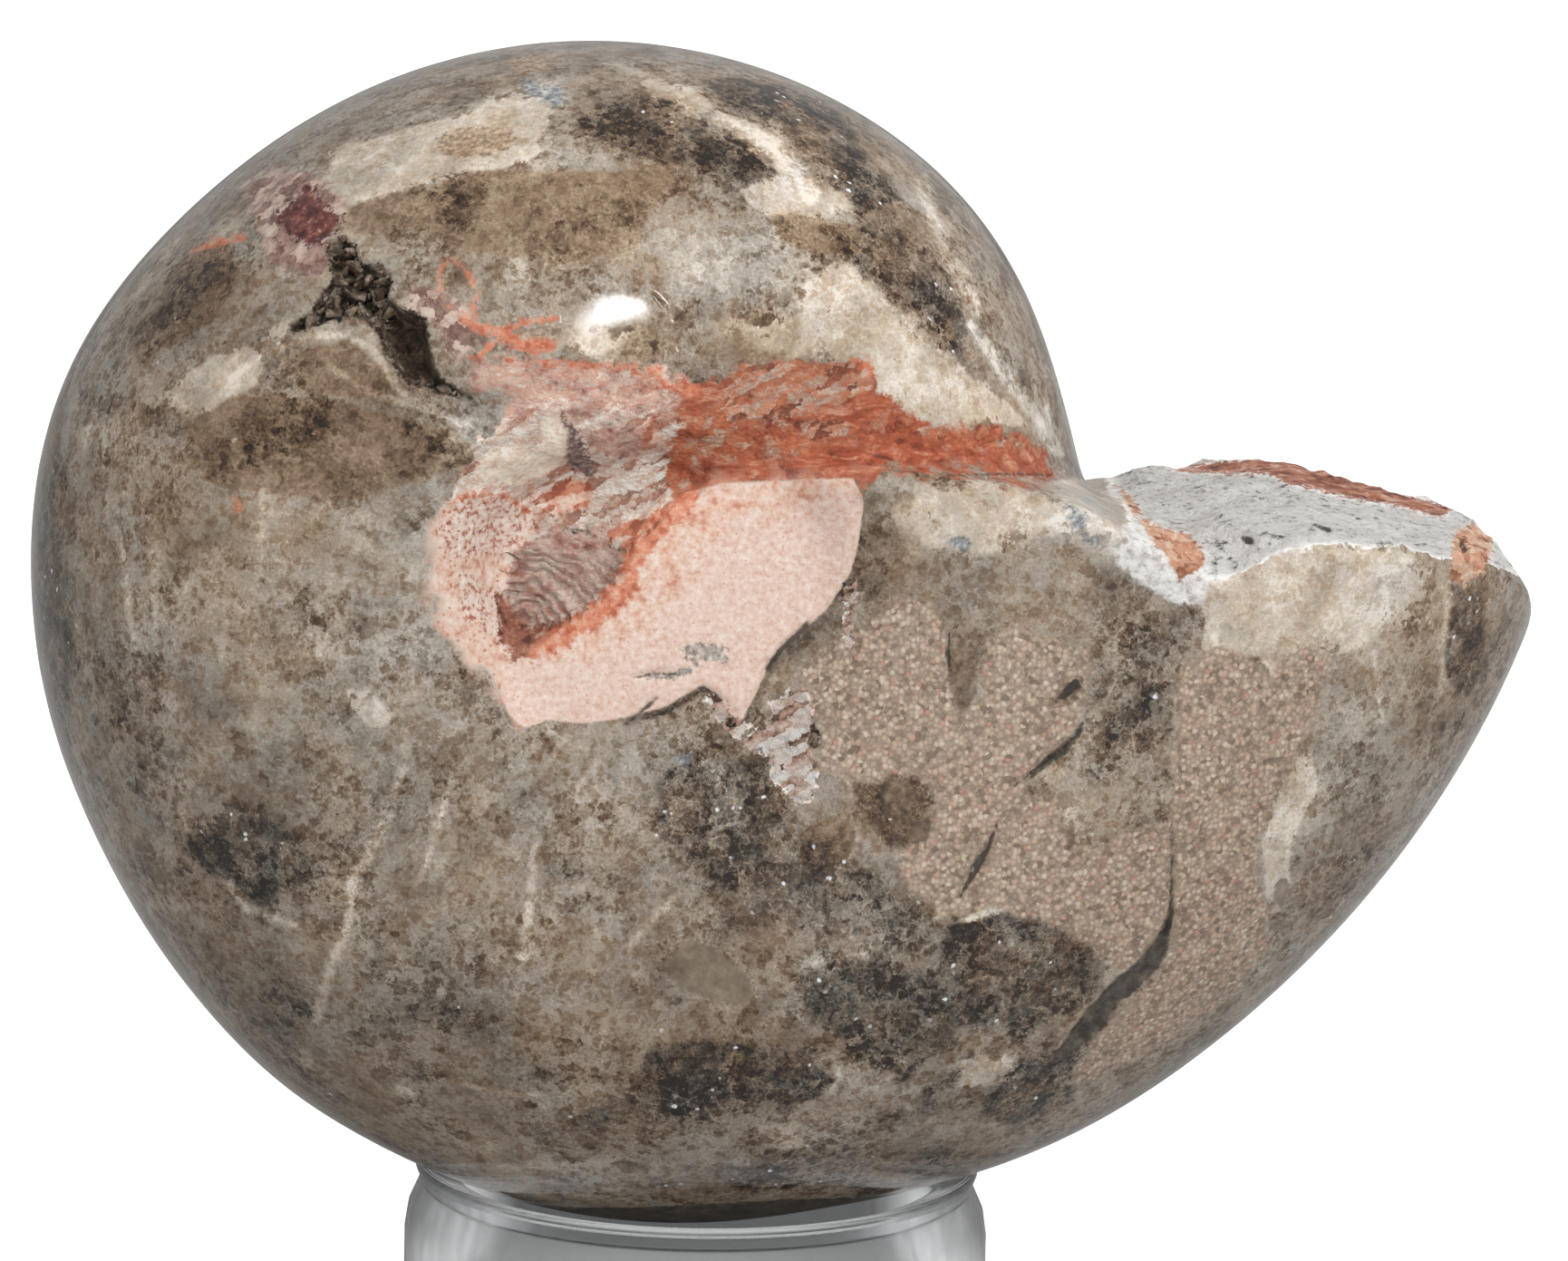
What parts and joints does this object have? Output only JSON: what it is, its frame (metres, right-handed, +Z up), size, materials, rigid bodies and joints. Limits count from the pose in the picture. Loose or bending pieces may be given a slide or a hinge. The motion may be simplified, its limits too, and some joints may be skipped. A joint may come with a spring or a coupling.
{
  "type": "vascoceras ammonite fossil",
  "caption": "Polished ammonite, coiled and swollen, with a pink matrix lens in its umbilicus and a broken mouth, upright in a clear ring stand.",
  "frame": {"origin": "middle of the bounding box, on the surface that the ring stands on", "axes": "+X towards the beak of the mouth, +Z up, -Y out of the side with the smooth pink lens"},
  "size_m": [0.1286, 0.068, 0.111],
  "materials": {
    "polished_calcite": "polished",
    "clear_ring": "clear gloss"
  },
  "bodies": {
    "root": {"fossil": "polished_calcite", "ring": "clear_ring"}
  },
  "joints": []
}
